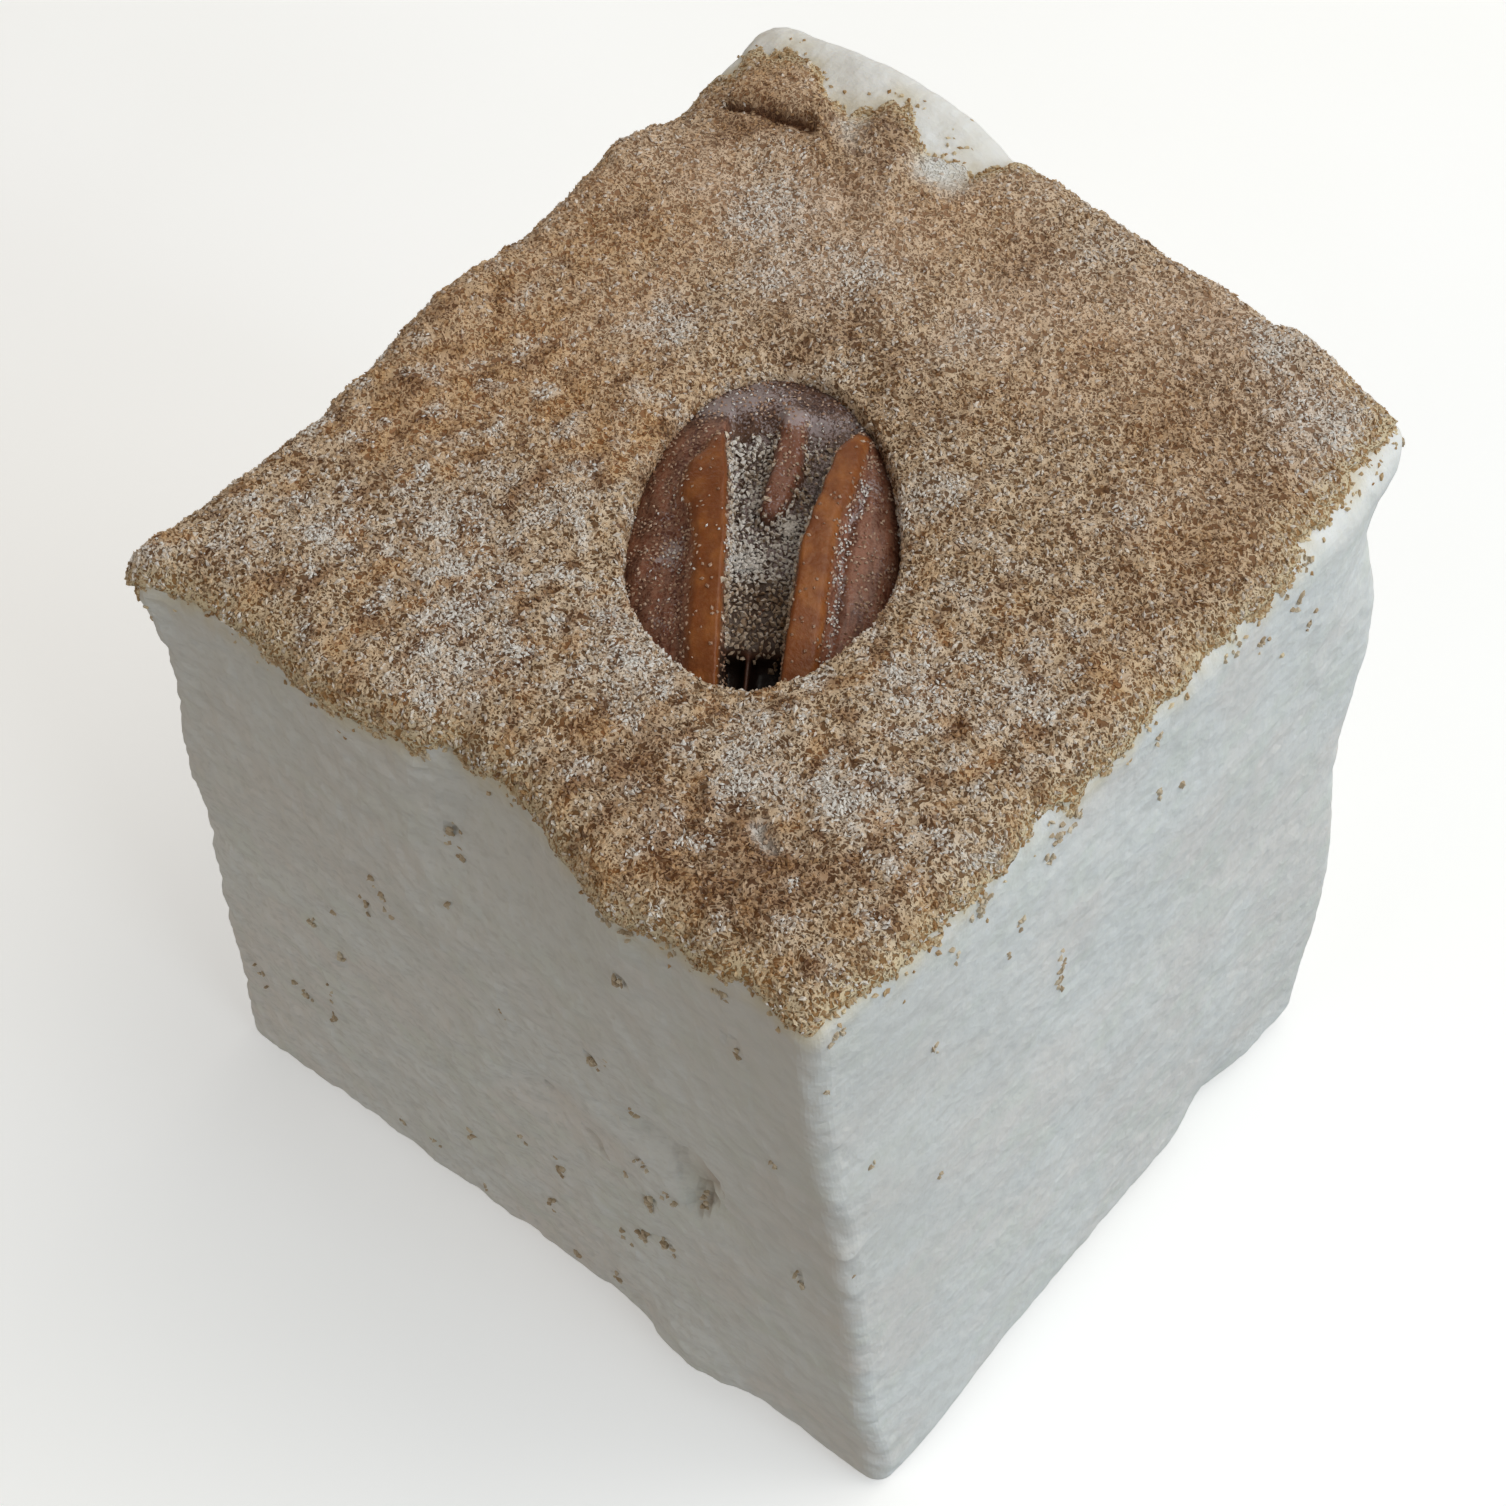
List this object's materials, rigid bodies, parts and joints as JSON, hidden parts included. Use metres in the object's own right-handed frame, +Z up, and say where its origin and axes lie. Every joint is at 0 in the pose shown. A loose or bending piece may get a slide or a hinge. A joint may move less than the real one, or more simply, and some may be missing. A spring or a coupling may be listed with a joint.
{
  "type": "pecan marshmallow",
  "caption": "Square hand-cut marshmallow, white on its cut sides, with a thin grainy brown sugar crust over the top and a pecan half pressed into it. It rests on its flat underside.",
  "frame": {"origin": "on the underside, below the middle of the part's box", "axes": "+Z up from the underside to the sugared top; the cut sides face X and Y"},
  "size_m": [0.0539, 0.0542, 0.0566],
  "materials": {
    "marshmallow": "soft, dry, matt white foam, a little translucent",
    "brown_sugar": "coarse dry grains of brown sugar with pale dust",
    "pecan": "satin brown nut skin, glossier on its ridges"
  },
  "bodies": {
    "root": {"marshmallow_body": "marshmallow", "sugar_crust": "brown_sugar", "pecan_half": "pecan"}
  },
  "joints": []
}
